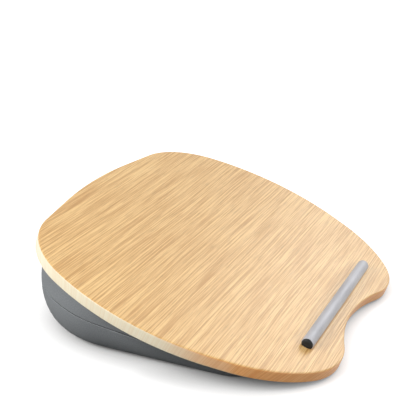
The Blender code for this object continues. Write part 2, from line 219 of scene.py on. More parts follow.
# Finishes: the values at which a pattern is dark and light, these two colours, the roughness at
# the low and the high end of a pattern, and the depth and strength of the bumps
Finish = namedtuple("Finish", "edges dark light rough depth strength")
finishes = {
    "wood_grain": Finish(
        (0.42, 0.58), (0.60, 0.320, 0.100), (0.93, 0.625, 0.270), (0.50, 0.38), 0.00008, 0.5
    ),
    "cushion_fabric": Finish(
        (0.35, 0.65), (0.220, 0.234, 0.248), (0.290, 0.307, 0.322), (0.78, 0.9), 0.00008, 0.3
    ),
    "fibreboard": Finish(
        (0.35, 0.65), (0.22, 0.14, 0.07), (0.42, 0.30, 0.18), (0.75, 0.95), 0.0001, 0.6
    ),
    "backing_sheet": Finish(
        (0.35, 0.65), (0.17, 0.13, 0.10), (0.27, 0.22, 0.17), (0.55, 0.7), 0.00005, 0.4
    ),
    "silver_bar": Finish(
        (0.35, 0.65), (0.42, 0.42, 0.445), (0.50, 0.50, 0.525), (0.52, 0.66), 0.00002, 0.4
    ),
    # The bar's end faces, painted near black as shade
    "bar_end_shade": Finish(
        (0.35, 0.65), (0.014, 0.015, 0.016), (0.026, 0.027, 0.029), (0.42, 0.55), 0.00004, 0.4
    ),
    "adhesive": Finish(
        (0.35, 0.65), (0.66, 0.66, 0.62), (0.76, 0.76, 0.72), (0.4, 0.6), 0.00005, 0.4
    ),
    "hook_tape": Finish(
        (0.2, 0.7), (0.016, 0.016, 0.018), (0.075, 0.077, 0.082), (0.75, 0.45), 0.0004, 0.9
    ),
    "loop_tape": Finish(
        (0.3, 0.7), (0.045, 0.047, 0.052), (0.13, 0.135, 0.145), (0.98, 0.85), 0.0005, 0.9
    ),
    "foam": Finish(
        (0.1, 0.6), (0.52, 0.45, 0.30), (0.78, 0.72, 0.56), (0.95, 0.8), 0.0004, 0.7
    ),
    "zip_tape": Finish(
        (0.25, 0.75), (0.022, 0.022, 0.024), (0.055, 0.056, 0.060), (0.8, 0.95), 0.0001, 0.6
    ),
    "zip_teeth": Finish(
        (0.35, 0.65), (0.018, 0.018, 0.020), (0.040, 0.040, 0.043), (0.3, 0.48), 0.00005, 0.3
    ),
    "zip_metal": Finish(
        (0.3, 0.7), (0.26, 0.26, 0.27), (0.44, 0.44, 0.45), (0.42, 0.26), 0.00002, 0.4
    ),
    # The seam's thread is near black: real thread, darkened as painted shade of the seam's groove
    "seam_thread_and_shade": Finish(
        (0.2, 0.8), (0.012, 0.013, 0.014), (0.030, 0.031, 0.033), (0.85, 0.7), 0.00005, 0.5
    ),
}
recoloured = (
    # The rim's two copies of the wood are painted light: a darker, redder one for its shaded front
    # and a pale one for its lit sides and rear
    ("rim_shaded_brown", "wood_grain", (0.80, 0.34, 0.100), (0.93, 0.48, 0.180)),
    ("rim_lit_pale", "wood_grain", (0.92, 0.80, 0.58), (0.96, 0.88, 0.68)),
    ("cushion_top", "cushion_fabric", (0.120, 0.126, 0.134), (0.175, 0.182, 0.192)),
    ("stitch", "seam_thread_and_shade", (0.10, 0.105, 0.11), (0.24, 0.25, 0.26)),
)
finishes |= {
    name: finishes[like]._replace(dark=dark, light=light)
    for name, like, dark, light in recoloured
}

# Light: the world and the floor, then each lamp's place, target, size, power and colour
world_strength = 0.26
floor_bounce = 0.08
floor_paint = 0.65
floor_glow = 0.84
floor_shade_reach = 0.04
floor_size = 6
floor_drop = 0.0003
lights = (
    ("top_light", (-0.1, 0.75, 1.1), (0, 0, 0.03), (1.2, 1.2), 2, (1, 1, 1)),
    ("left_light", (-1.0, 0.60, 0.75), (-0.1, 0.05, 0.05), (0.7, 0.5), 13.5, (1, 0.99, 0.97)),
    ("far_light", (1.2, -0.35, 0.85), (-0.05, -0.08, 0.03), (0.8, 0.6), 6.5, (1, 1, 1)),
    ("front_light", (-0.2, -1.4, 0.55), (0, -0.1, 0.02), (0.8, 0.4), 8, (1, 1, 1)),
)


def rounded_outline(corners, span):
    """Points and inward normals round a closed outline of (x, y, fillet radius), turning left."""
    places = [Vector(c[:2]) for c in corners]
    count = len(places)
    turns = []
    for i in range(count):
        into = places[i] - places[i - 1]
        out = places[(i + 1) % count] - places[i]
        turns.append(math.atan2(into.cross(out), into.dot(out)))
    reach = [c[2] * math.tan(abs(t) / 2) for c, t in zip(corners, turns)]
    outline = []
    for i, corner in enumerate(corners):
        after = (i + 1) % count
        before_length = (places[i] - places[i - 1]).length
        after_length = (places[after] - places[i]).length
        room_before = before_length / max(reach[i] + reach[i - 1], merge_distance)
        room_after = after_length / max(reach[i] + reach[after], merge_distance)
        radius = corner[2] * min(1, room_before, room_after)
        along = (places[i] - places[i - 1]).normalized()
        inward = Vector((-along.y, along.x))
        start = places[i] - along * (radius * math.tan(abs(turns[i]) / 2))
        if outline:
            outline += straight(outline[-1], start, span)
        outline += arc(start, inward, turns[i], radius, span)
    outline += straight(outline[-1], outline[0][0], span)
    while (outline[-1][0] - outline[0][0]).length < span * least_span_share:
        outline.pop()
    return outline


def straight(last, end, span):
    """The points between the last one and the end of a straight stretch."""
    count = max(1, math.ceil((end - last[0]).length / span))
    return [(last[0].lerp(end, k / count), last[1]) for k in range(1, count)]


def arc(start, inward, turn, radius, span):
    """The points of a fillet, from its start."""
    side = 1 if turn > 0 else -1
    centre = start + inward * (radius * side)
    count = max(2, math.ceil(abs(turn) * radius / span))
    points = []
    for k in range(count):
        normal = Matrix.Rotation(turn * k / count, 2) @ inward
        points.append((centre - normal * (radius * side), normal))
    return points


def mirrored(half):
    """The corners of the +X half, and those of the other half after them."""
    return half + [(-x, y, radius) for x, y, radius in reversed(half) if x > 0]


def running_length(points):
    """How far along a line each of its points lies."""
    steps = [(b - a).length for a, b in zip(points, points[1:])]
    return [0.0, *np.cumsum(steps).tolist()]


def mesh_from(bm, name):
    mesh = bpy.data.meshes.new(name)
    bm.to_mesh(mesh)
    bm.free()
    return mesh


def link(name, mesh, smooth=True):
    obj = bpy.data.objects.new(name, mesh)
    bpy.context.scene.collection.objects.link(obj)
    if smooth:
        mesh.shade_smooth()
        mesh.set_sharp_from_angle(angle=sharp_angle)
    return obj


def loft(name, rings, maps, first_map=None, last_map=None, closed=False):
    """A solid through rings with as many points each. Maps hold each ring's texture places.

    A ring's map has one more place than the ring, for the face that closes it. Where first_map and
    last_map are given, the end caps take their places from them.
    """
    bm = bmesh.new()
    layer = bm.loops.layers.uv.new(texture_layer)
    loops = [[bm.verts.new(point) for point in ring] for ring in rings]
    pairs = list(zip(range(len(rings)), range(1, len(rings))))
    if closed:
        pairs.append((len(rings) - 1, 0))
    count = len(rings[0])
    for low, high in pairs:
        for i in range(count):
            j = (i + 1) % count
            face = bm.faces.new((loops[low][i], loops[low][j], loops[high][j], loops[high][i]))
            spots = (maps[low][i], maps[low][i + 1], maps[high][i + 1], maps[high][i])
            for corner, spot in zip(face.loops, spots):
                corner[layer].uv = spot
    if not closed:
        for ring, spots, turn in ((loops[0], first_map, -1), (loops[-1], last_map, 1)):
            face = bm.faces.new(ring[::turn])
            for corner, spot in zip(face.loops, spots[::turn]):
                corner[layer].uv = spot
    return link(name, mesh_from(bm, name))


def fix(obj, name):
    """Makes the object's modifiers part of its mesh."""
    graph = bpy.context.evaluated_depsgraph_get()
    mesh = bpy.data.meshes.new_from_object(obj.evaluated_get(graph))
    obj.modifiers.clear()
    obj.data = mesh
    mesh.name = name


def cut(obj, low, high, place):
    """Cuts a box, given by its corners in the axes of place, out of the object."""
    bm = bmesh.new()
    size = Vector(high) - Vector(low)
    middle = (Vector(high) + Vector(low)) / 2
    shape = place @ Matrix.Translation(middle) @ Matrix.Diagonal((*size, 1))
    bmesh.ops.create_cube(bm, size=1, matrix=shape)
    cutter = link("cutter", mesh_from(bm, "cutter"), smooth=False)
    modifier = obj.modifiers.new("cut", "BOOLEAN")
    modifier.operation = "DIFFERENCE"
    modifier.solver = "EXACT"
    modifier.object = cutter
    fix(obj, obj.data.name)
    bpy.data.objects.remove(cutter)
    obj.data.set_sharp_from_angle(angle=sharp_angle)


class Paint:
    """A material in the making: its shader, and short calls for the nodes that feed it."""

    def __init__(self, name, **settings):
        self.material = bpy.data.materials.new(name)
        self.material.use_nodes = True
        self.tree = self.material.node_tree
        self.shader = self.tree.nodes["Principled BSDF"]
        for key, value in settings.items():
            self.feed(self.shader, key.replace("_", " "), value)

    def feed(self, node, key, value):
        socket = node.inputs[key]
        if isinstance(value, bpy.types.NodeSocket):
            self.tree.links.new(value, socket)
        else:
            socket.default_value = value

    def add(self, kind, inputs, output=0, **settings):
        node = self.tree.nodes.new("ShaderNode" + kind)
        for key, value in settings.items():
            setattr(node, key, value)
        for key, value in inputs.items():
            self.feed(node, key, value)
        return node.outputs[output]

    def flat(self):
        """The mesh's own texture places, in metres."""
        return self.add("UVMap", {}, uv_map=texture_layer)

    def place(self):
        """The point's place on the object, in metres."""
        return self.add("TexCoord", {}, output="Object")

    def pattern(self, kind, vector, scale, inputs, **settings):
        scaled = self.add("Mapping", {"Vector": vector, "Scale": scale})
        return self.add("Tex" + kind, {"Vector": scaled, "Scale": 1.0, **inputs}, **settings)

    def noise(self, vector, name):
        grain = grains[name]
        inputs = {"Detail": grain.detail, "Roughness": grain.roughness}
        inputs["Distortion"] = grain.distortion
        return self.pattern("Noise", vector, grain.scale, inputs)

    def wave(self, vector, scale, direction):
        return self.pattern("Wave", vector, scale, {}, output="Fac", bands_direction=direction)

    def range(self, value, span, to_span):
        """The value, stretched from one span to another and held inside it."""
        inputs = {"Value": value, "From Min": span[0], "From Max": span[1]}
        inputs["To Min"], inputs["To Max"] = to_span
        return self.add("MapRange", inputs)

    def math(self, operation, *values):
        return self.add("Math", dict(enumerate(values)), operation=operation)

    def weighed(self, values, weights):
        """The sum of the values times their weights."""
        first, *others = (self.math("MULTIPLY", *pair) for pair in zip(values, weights))
        for other in others:
            first = self.math("ADD", first, other)
        return first

    def toned(self, finish, tone):
        """The finish's colour at this tone, from dark to light."""
        node = self.tree.nodes.new("ShaderNodeValToRGB")
        self.feed(node, "Fac", tone)
        colours = (finish.dark, finish.light)
        for element, edge, colour in zip(node.color_ramp.elements, finish.edges, colours):
            element.position = edge
            element.color = (*colour, 1)
        return node.outputs["Color"]

    def mix(self, share, first, second):
        """Two colours mixed. The node has sockets of one name for each type: these are RGBA's."""
        node = self.tree.nodes.new("ShaderNodeMix")
        node.data_type = "RGBA"
        for index, value in ((0, share), (6, first), (7, second)):
            self.feed(node, index, (*value, 1) if isinstance(value, tuple) else value)
        return node.outputs[2]

    def done(self, finish, colour, wear, relief, span=noise_span):
        """The material, with its roughness by wear and its bumps by relief."""
        bumps = {"Height": relief, "Distance": finish.depth, "Strength": finish.strength}
        self.feed(self.shader, "Base Color", colour)
        self.feed(self.shader, "Roughness", self.range(wear, span, finish.rough))
        self.feed(self.shader, "Normal", self.add("Bump", bumps))
        return self.material


def wood_colour(paint, finish, pores):
    """Straight grain along x: its colour, its fibres, and its height with the pores sunk in."""
    flat = paint.flat()
    sway = paint.math("SUBTRACT", paint.noise(flat, "wood_sway"), 0.5)
    shift = paint.add("CombineXYZ", {"Y": paint.math("MULTIPLY", sway, wood_sway_reach)})
    swayed = paint.add("VectorMath", {0: flat, 1: shift}, operation="ADD")
    figure, band, fibre, pore = (
        paint.noise(swayed, "wood_" + name) for name in ("figure", "band", "fibre", "pore")
    )
    tone = paint.weighed((figure, band, fibre), wood_weights)
    deep = paint.range(pore, wood_pore_edges, (0, pores))
    pore_colour = tuple(value * wood_pore_tone for value in finish.dark)
    colour = paint.mix(deep, paint.toned(finish, tone), pore_colour)
    sunk = paint.math("MULTIPLY", deep, wood_pore_depth)
    return colour, fibre, paint.math("SUBTRACT", fibre, sunk)


def wood_grain():
    """The board's face: satin light oak."""
    finish = finishes["wood_grain"]
    paint = Paint("wood_grain_look", Coat_Weight=0.3, Coat_Roughness=0.32, Specular_IOR_Level=0.4)
    return paint.done(finish, *wood_colour(paint, finish, wood_pores))


def rim_with_painted_light():
    """The board's rim, with painted light and shade: a pale lit copy of the wood round its sides
    and rear, and a darker brown shaded copy where it turns to the user.
    """
    paint = Paint("rim_painted_light_look", Coat_Weight=0.15, Coat_Roughness=0.3, Specular_IOR_Level=0.4)
    shaded_brown, fibre, height = wood_colour(paint, finishes["rim_shaded_brown"], wood_pores)
    pale, _, _ = wood_colour(paint, finishes["rim_lit_pale"], lit_rim_pores)
    # The normal's y picks the copy: painted shade towards the user, painted highlight round the
    # sides and rear
    normal = {"Vector": paint.add("NewGeometry", {}, output="Normal")}
    share = paint.range(paint.add("SeparateXYZ", normal, output="Y"), rim_light_facing, (0, 1))
    return paint.done(finishes["rim_shaded_brown"], paint.mix(share, shaded_brown, pale), fibre, height)


def fabric(name, finish):
    """Tightly woven grey cloth with a faint fleck."""
    paint = Paint(name, Sheen_Weight=0.05, Sheen_Roughness=0.5, Specular_IOR_Level=0.15)
    flat = paint.flat()
    weave = paint.math("MULTIPLY", *(paint.wave(flat, weave_scale, axis) for axis in "XY"))
    fleck = paint.noise(flat, "cloth_fleck")
    cloud = paint.noise(paint.place(), "cloth_cloud")
    colour = paint.toned(finish, paint.weighed((fleck, cloud), cloth_weights))
    height = paint.math("ADD", weave, paint.math("MULTIPLY", fleck, cloth_fleck_height))
    return paint.done(finish, colour, fleck, height)


def speckled(name, **settings):
    """A material whose colour, roughness and bumps follow one noise."""
    paint = Paint(name + "_look", **settings)
    speckle = paint.noise(paint.place(), name)
    return paint.done(finishes[name], paint.toned(finishes[name], speckle), speckle, speckle)


def backing_sheet():
    """A printed paper foil with a fine grained face."""
    paint = Paint("backing_sheet_look")
    fine, broad = (paint.noise(paint.place(), name) for name in ("backing_fine", "backing_broad"))
    finish = finishes["backing_sheet"]
    colour = paint.toned(finish, paint.weighed((fine, broad), backing_weights))
    return paint.done(finish, colour, fine, fine)


def silver_bar():
    """Satin silver with faint lengthwise drawing marks."""
    paint = Paint("silver_bar_look", Metallic=0.35)
    drawn, cloud = (paint.noise(paint.place(), name) for name in ("bar_drawn", "bar_cloud"))
    finish = finishes["silver_bar"]
    return paint.done(finish, paint.toned(finish, cloud), drawn, drawn)


def hook_tape():
    """Rows of stiff hooks on a dark tape."""
    paint = Paint("hook_tape_look", Specular_IOR_Level=0.4)
    rows = paint.wave(paint.place(), hook_row_scale, "X")
    lines = paint.wave(paint.place(), hook_line_scale, "Y")
    hooks = paint.math("MULTIPLY", rows, lines)
    finish = finishes["hook_tape"]
    return paint.done(finish, paint.toned(finish, hooks), hooks, hooks, wave_span)


def foam():
    """Open cells in cream foam."""
    paint = Paint("foam_look")
    cells = paint.pattern("Voronoi", paint.place(), foam_cell_scale, {})
    finish = finishes["foam"]
    return paint.done(finish, paint.toned(finish, cells), cells, cells, wave_span)


def zip_tape():
    """A woven tape with a herringbone of fine ribs."""
    paint = Paint("zip_tape_look", Sheen_Weight=0.1)
    ribs = paint.wave(paint.place(), zip_rib_scale, "DIAGONAL")
    fleck = paint.noise(paint.place(), "zip_fleck")
    finish = finishes["zip_tape"]
    colour = paint.toned(finish, paint.weighed((ribs, fleck), zip_tape_weights))
    return paint.done(finish, colour, fleck, ribs)


def thread(name, finish):
    """Twisted sewing thread."""
    paint = Paint(name)
    twist = paint.wave(paint.place(), thread_twist_scale, "DIAGONAL")
    return paint.done(finish, paint.toned(finish, twist), twist, twist, wave_span)


def dress(obj, material, body=None, replaced=()):
    """Gives a piece its material and says what it rides on and stands for."""
    obj.data.materials.clear()
    obj.data.materials.append(material)
    if body:
        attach(obj, body)
    if replaced:
        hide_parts(*replaced)
    return obj


def make_wrap():
    """The wood-grain skin: flat top, rolled rim and turned-down edge, hollow for the core."""
    top = board_thickness
    steps = [math.pi / 2 * k / rim_steps for k in range(rim_steps + 1)]
    wall = top - top_round - bottom_round
    path = [(wrap_thickness, top - wrap_thickness), (wrap_thickness, 0.0)]
    path += [(bottom_round * (1 - math.sin(a)), bottom_round * (1 - math.cos(a))) for a in steps]
    path += [(0.0, bottom_round + wall * k / rim_wall_steps) for k in range(1, rim_wall_steps)]
    path += [(top_round * (1 - math.cos(a)), top - top_round * (1 - math.sin(a))) for a in steps]
    path.append((flat_top_inset, top))
    rings = []
    maps = []
    for inset, height in path:
        rings.append([(*(point + normal * inset), height) for point, normal in board_outline])
        reach = inset - (top - height)
        spots = [tuple(point + normal * reach) for point, normal in board_outline]
        maps.append([*spots, spots[0]])
    obj = loft("board_wood_wrap", rings, maps, maps[0][:-1], maps[-1][:-1])
    dress(obj, wood_grain(), "board", ["wood_grain_wrap"])
    # The rim's steep faces take the second material, with its painted light and shade
    obj.data.materials.append(rim_with_painted_light())
    for face in obj.data.polygons:
        is_steep = abs(face.normal.z) < rim_turn
        face.material_index = int(is_steep and face.center.z < top - top_round / 2)
    obj.data.transform(board_place)


def make_bar():
    """The stopper bar: a rod with rounded ends, cut flat underneath and grooved for its tape."""
    half = bar_length / 2
    profile = [(0.0, half)]
    for k in range(bar_end_steps + 1):
        angle = math.pi / 2 * k / bar_end_steps
        x = bar_radius - bar_end_round + bar_end_round * math.sin(angle)
        profile.append((x, half - bar_end_round + bar_end_round * math.cos(angle)))
    profile += [(x, -z) for x, z in reversed(profile)]
    bm = bmesh.new()
    verts = [bm.verts.new((x, 0, z)) for x, z in profile]
    edges = [bm.edges.new(pair) for pair in zip(verts, verts[1:])]
    bmesh.ops.spin(
        bm, geom=verts + edges, cent=(0, 0, 0), axis=(0, 0, 1), angle=math.tau,
        steps=bar_sides, use_merge=True,
    )
    bmesh.ops.remove_doubles(bm, verts=bm.verts, dist=merge_distance)
    bmesh.ops.recalc_face_normals(bm, faces=bm.faces)
    mesh = mesh_from(bm, "stopper_bar_silver")
    foot = board_thickness + clearance
    axis = foot + bar_height - bar_radius
    turn = Matrix.Rotation(math.pi / 2, 4, "Y")
    mesh.transform(board_place @ Matrix.Translation((0, bar_set_back, axis)) @ turn)
    obj = link("stopper_bar_silver", mesh)
    cut(obj, (-half * 2, 0, -bar_radius), (half * 2, bar_set_back * 2, foot), board_place)
    length, width, depth = bar_groove
    low = (-length / 2, bar_set_back - width / 2, 0)
    cut(obj, low, (length / 2, bar_set_back + width / 2, foot + depth), board_place)
    dress(obj, silver_bar(), "board", ["stopper_bar"])
    # The end faces take a near-black material: painted shade
    obj.data.materials.append(speckled("bar_end_shade", Specular_IOR_Level=0.2))
    for face in obj.data.polygons:
        face.material_index = int(abs(face.normal.x) > bar_end_shade_turn)


def plane_height(w):
    """The height, for each world y, of the plane at w above the board's underside."""
    return lambda y: board_front_gap + (y - origin_y) * math.tan(tilt) + w / math.cos(tilt)


def seam_height(y):
    """The seam's height: a straight rise, held below the band's least height at the front."""
    straight_rise = seam_rear_height - (cushion_rear_y - y) * seam_rise_share
    limit = band_top(y) - band_least_height
    return (straight_rise + limit - math.hypot(straight_rise - limit, band_blend)) / 2


def wall_place(column, height, offset):
    """A point on the cushion's wall at this height of its profile, moved in by offset."""
    point, inward = column
    drop = min(1, max(0, 1 - height / floor_round_height))
    rise = math.sqrt(1 - drop**2)
    across, up = floor_round_height * rise, floor_round_width * drop
    size = math.hypot(across, up)
    spot = point + inward * (floor_round_width * (1 - rise) + offset * across / size)
    return Vector((spot.x, spot.y, height + offset * up / size))


def wall_height(column, surface, offset):
    """The height on the profile where the wall, moved in by offset, meets a surface over y."""
    height = 0
    for _ in range(solver_rounds):
        place = wall_place(column, height, offset)
        height += surface(place.y) - place.z
    return height


class Wall:
    """One column of the cushion's wall, with the heights of its seam and its top edge."""

    def __init__(self, column):
        self.column = column
        self.seam = wall_height(column, seam_height, 0)
        self.top = wall_height(column, band_top, 0)
        band = self.top - self.seam
        self.full = min(1, band / seam_draw_full_band)
        self.lip = min(seam_lip, seam_lip_share * band, seam_lip_share * self.seam)

    def lower(self, share, gap=0.0):
        """The profile height at this share of the way from the floor to the seam."""
        return (self.seam - gap) * (1 - math.cos(math.pi / 2 * share))

    def band(self, share, gap=0.0):
        """The profile height at this share of the way from the seam to the band's top."""
        return (self.seam + gap) * (1 - share) + (self.top - gap) * share


def swollen_by(walls):
    """How far the stuffing swells each panel, by row and column: a cloth held at its seams."""
    every = len(walls)
    walls = walls[::cloth_columns_step]
    lower_count, band_count = held_rows
    levels = [(False, k / (lower_count - 1)) for k in range(lower_count)]
    levels += [(True, k / (band_count - 1)) for k in range(1, band_count)]
    rings, outward = [], []
    for is_band, share in levels:
        places = []
        for wall in walls:
            height = wall.band(share) if is_band else wall.lower(share)
            start = wall_place(wall.column, height, wall.full * seam_draw)
            depth = wall.full * seam_draw + fabric_thickness
            places.append(start)
            outward.append((start - wall_place(wall.column, height, depth)).normalized())
        rings.append(places)
    count = len(walls)
    spots = [[(0, 0)] * (count + 1)] * len(rings)
    obj = loft("stuffed_cover", rings, spots, spots[0][:-1], spots[0][:-1])
    held = obj.vertex_groups.new(name="held")
    fixed_rows = (0, lower_count - 1, len(rings) - 1)
    held.add([row * count + i for row in fixed_rows for i in range(count)], 1.0, "REPLACE")
    cloth = obj.modifiers.new("stuffing", "CLOTH")
    cloth.settings.vertex_group_mass = "held"
    cloth.settings.use_pressure = True
    cloth.settings.uniform_pressure_force = swell_pressure
    cloth.settings.effector_weights.gravity = 0
    scene = bpy.context.scene
    for number in range(1, swell_frames + 1):
        scene.frame_set(number)
    graph = bpy.context.evaluated_depsgraph_get()
    mesh = obj.evaluated_get(graph).to_mesh()
    moved = [mesh.vertices[i].co.copy() for i in range(count * len(rings))]
    start = [place for ring in rings for place in ring]
    swell = np.array([(m - s).dot(o) for m, s, o in zip(moved, start, outward)])
    obj.evaluated_get(graph).to_mesh_clear()
    bpy.data.objects.remove(obj)
    scene.frame_set(1)
    swell = np.clip(swell, 0, None).reshape(len(rings), count)
    swell *= fullness / max(swell.max(), merge_distance)
    spots = np.arange(every) / cloth_columns_step
    swell = np.array([np.interp(spots, np.arange(count + 1), [*row, row[0]]) for row in swell])
    return {False: swell[:lower_count], True: swell[lower_count - 1:]}


def between_rows(values, at):
    """A smooth curve through evenly spaced rows, read at a fractional row number."""
    base = min(int(at), len(values) - 2)
    t = at - base
    before, start, end, after = (
        values[min(max(base + k, 0), len(values) - 1)] for k in (-1, 0, 1, 2)
    )
    return start + 0.5 * t * (
        end - before
        + t * (2 * before - 5 * start + 4 * end - after + t * (3 * (start - end) + after - before))
    )


def drawn_in(wall, swell):
    """The wall's offset at a point: drawn in at the seams and swollen between them."""
    return wall.full * (seam_draw - swell)


def clustered(count):
    """Shares from 0 to 1 that lie close together at both ends."""
    return [(1 - math.cos(math.pi * k / count)) / 2 for k in range(count + 1)]


def outer_rows(is_band, swell):
    """The panel's outer rings, from its lower edge to its upper one."""
    rings = []
    rows = len(swell)
    for share in clustered(panel_rows):
        bulge = between_rows(swell, share * (rows - 1))
        ring = []
        for i, wall in enumerate(walls):
            gap = seam_gap / 2 + wall.lip
            height = wall.band(share, gap) if is_band else wall.lower(share, gap)
            spot = Vector((*wall.column[0] * waver_around, height * waver_up))
            waver = noise.noise(spot) * waver_size * wall.full
            ring.append(wall_place(wall.column, height, drawn_in(wall, bulge[i]) + waver))
        rings.append(ring)
    return rings


def lip_rows(is_band, side):
    """The rings of a rolled edge, from the face inwards: side is 1 for the upper one, else -1."""
    rings = []
    for k in range(1, lip_steps + 1):
        angle = math.pi / 2 * k / lip_steps
        ring = []
        for wall in walls:
            gap = seam_gap / 2 + wall.lip
            if is_band:
                edge = wall.band(1 if side > 0 else 0, gap)
            else:
                edge = wall.lower(1, gap)
            height = edge + side * wall.lip * math.sin(angle)
            depth = wall.lip * seam_depth_share * (1 - math.cos(angle))
            ring.append(wall_place(wall.column, height, drawn_in(wall, 0) + depth))
        rings.append(ring)
    return rings


def inner_face(is_band):
    """The rings of the panel's inner face, from its upper edge to its lower one."""
    rings = []
    gap = seam_gap / 2
    for k in range(inner_rows, -1, -1):
        share = k / inner_rows
        ring = []
        for wall in walls:
            height = wall.band(share, gap) if is_band else wall.lower(share, gap)
            depth = fabric_thickness + seam_draw * wall.full
            ring.append(wall_place(wall.column, height, depth))
        rings.append(ring)
    return rings


def cloth_maps(rings):
    """Texture places for rings: how far round and how far up each point lies, in metres."""
    around = running_length([wall.column[0] for wall in walls] + [walls[0].column[0]])
    climbs = np.zeros(len(walls))
    maps = []
    for number, ring in enumerate(rings):
        if number:
            climbs += [(a - b).length for a, b in zip(ring, rings[number - 1])]
        maps.append([*zip(around, climbs), (around[-1], climbs[0])])
    return maps


def flat_map(ring):
    """Texture places for a cap, as seen from above."""
    return [(point.x, point.y) for point in ring]


def make_covers(swell):
    """The lower panel and the upper band, with rolled edges that meet in the seam's groove."""
    rings = outer_rows(False, swell[False]) + lip_rows(False, 1) + inner_face(False)
    caps = flat_map(rings[0]), flat_map(rings[-1])
    lower = loft("cushion_lower_cover", rings, cloth_maps(rings), *caps)
    rings = lip_rows(True, -1)[::-1] + outer_rows(True, swell[True]) + lip_rows(True, 1)
    rings += inner_face(True)
    band = loft("cushion_band_cover", rings, cloth_maps(rings), closed=True)
    grey = fabric("cushion_fabric_look", finishes["cushion_fabric"])
    for cover, node in ((lower, "cushion_lower_panel"), (band, "cushion_upper_band")):
        cut(cover, *window_box(), zip_place)
        dress(cover, grey, "cushion", [node])
    return lower, band


def window_box():
    """The corners of the opening for the zip, in its own axes."""
    length, height = zip_window
    corner = Vector((length / 2, height / 2, zip_window_reach))
    return -corner, corner


def make_seam_thread():
    """The stitching at the bottom of the seam's groove, near black: real thread, darkened as
    painted shade of the groove.
    """
    rings = []
    for side, deep in ((-1, 0), (1, 0), (1, 1), (-1, 1)):
        reach = side * (seam_gap / 2 - seam_thread_slack)
        ring = []
        for wall in walls:
            depth = drawn_in(wall, 0) + seam_depth_share * wall.lip + deep * seam_thread_depth
            ring.append(wall_place(wall.column, wall.seam + reach, depth))
        rings.append(ring)
    obj = loft("cushion_seam_stitching_and_shade", rings, cloth_maps(rings), closed=True)
    cut(obj, *window_box(), zip_place)
    # Near-black thread: part real, part painted shade of the groove
    dark = thread("seam_thread_and_shade_look", finishes["seam_thread_and_shade"])
    dress(obj, dark, "cushion")


def make_top_cover():
    """The fabric that closes the cushion under the board, with a rolled edge."""
    bottom, top = panel_top - panel_thickness, panel_top
    path = [(panel_lap, bottom), (panel_edge_round, bottom), (0.0, bottom + panel_edge_round)]
    path += [(0.0, top - panel_edge_round), (panel_edge_round, top), (panel_lap, top)]
    rings = []
    for inset, w in path:
        surface = plane_height(w)
        ring = [wall_place(c, wall_height(c, surface, inset), inset) for c in cushion_outline]
        rings.append(ring)
    maps = [flat_map([*ring, ring[0]]) for ring in rings]
    obj = loft("cushion_top_cover", rings, maps, maps[0][:-1], maps[-1][:-1])
    grey = fabric("cushion_top_look", finishes["cushion_top"])
    dress(obj, grey, "cushion", ["cushion_top_panel"])


def make_foam():
    """The foam wedge that fills the cover, with its recess for the zip."""
    tops = [wall_height(wall.column, band_top, foam_depth) for wall in walls]
    rings = []
    for share in clustered(foam_rows):
        heights = [top * share**2 for top in tops]
        ring = [wall_place(w.column, height, foam_depth) for w, height in zip(walls, heights)]
        rings.append(ring)
    caps = flat_map(rings[0]), flat_map(rings[-1])
    obj = loft("cushion_foam", rings, cloth_maps(rings), *caps)
    low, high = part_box("zip_tape_upper")
    reach = (high[0] - low[0]) / 2 + clearance
    side = high[2] - zip_middle.z + clearance
    back = low[1] - zip_middle.y - clearance * 2
    cut(obj, (-reach, -side, back), (reach, side, foam_depth), zip_place)
    dress(obj, foam(), "cushion", ["foam_wedge"])


def make_window_stitches(lower, band):
    """The row of stitches on each side of the zip, laid on the cover's face."""
    length, height = zip_window
    count = int(length / stitch_pitch)
    bm = bmesh.new()
    for cover, side in ((lower, -1), (band, 1)):
        z = zip_middle.z + side * (height / 2 + stitch_set_back)
        for k in range(count):
            middle = ((k + 0.5) / count - 0.5) * length
            ends = [sewn_place(cover, middle + end * stitch_length / 2, z) for end in (-1, 1)]
            add_stitch(bm, *ends, Vector((0, 1, 0)))
    grey = thread("stitch_look", finishes["stitch"])
    obj = link("zip_window_stitches", mesh_from(bm, "zip_window_stitches"))
    dress(obj, grey, "cushion")


def sewn_place(cover, x, z):
    """The point on the cover's rear face at this x and z."""
    behind = Vector((x, zip_middle.y + sewing_reach, z))
    return cover.ray_cast(behind, Vector((0, -1, 0)))[1]


def add_stitch(bm, start, end, normal):
    """One stitch: a thread that rises out of the cloth, lies on it and dips back."""
    direction = (end - start).normalized()
    side = direction.cross(normal)
    rings = []
    for share, lift, size in stitch_profile:
        centre = start.lerp(end, share) + normal * (lift * thread_radius)
        ring = []
        for k in range(stitch_sides):
            angle = math.tau * k / stitch_sides
            spoke = side * math.cos(angle) + normal * math.sin(angle)
            ring.append(bm.verts.new(centre + spoke * (size * thread_radius)))
        rings.append(ring)
    for low, high in zip(rings, rings[1:]):
        for i in range(stitch_sides):
            bm.faces.new((low[i - 1], low[i], high[i], high[i - 1]))
    bm.faces.new(rings[0])
    bm.faces.new(rings[-1][::-1])


def make_camera():
    data = bpy.data.cameras.new("camera")
    data.lens = camera_lens_mm
    data.sensor_width = camera_sensor_mm
    data.clip_start, data.clip_end = camera_clip
    camera = bpy.data.objects.new("camera", data)
    bpy.context.scene.collection.objects.link(camera)
    camera.location = camera_place
    camera.rotation_euler = [math.radians(angle) for angle in camera_turn_deg]
    bpy.context.scene.camera = camera


def area_light(name, place, target, size, power, colour):
    data = bpy.data.lights.new(name, "AREA")
    data.shape = "RECTANGLE"
    data.size, data.size_y = size
    data.energy = power
    data.color = colour
    light = bpy.data.objects.new(name, data)
    bpy.context.scene.collection.objects.link(light)
    light.location = place
    light.rotation_euler = (Vector(target) - Vector(place)).to_track_quat("-Z", "Y").to_euler()


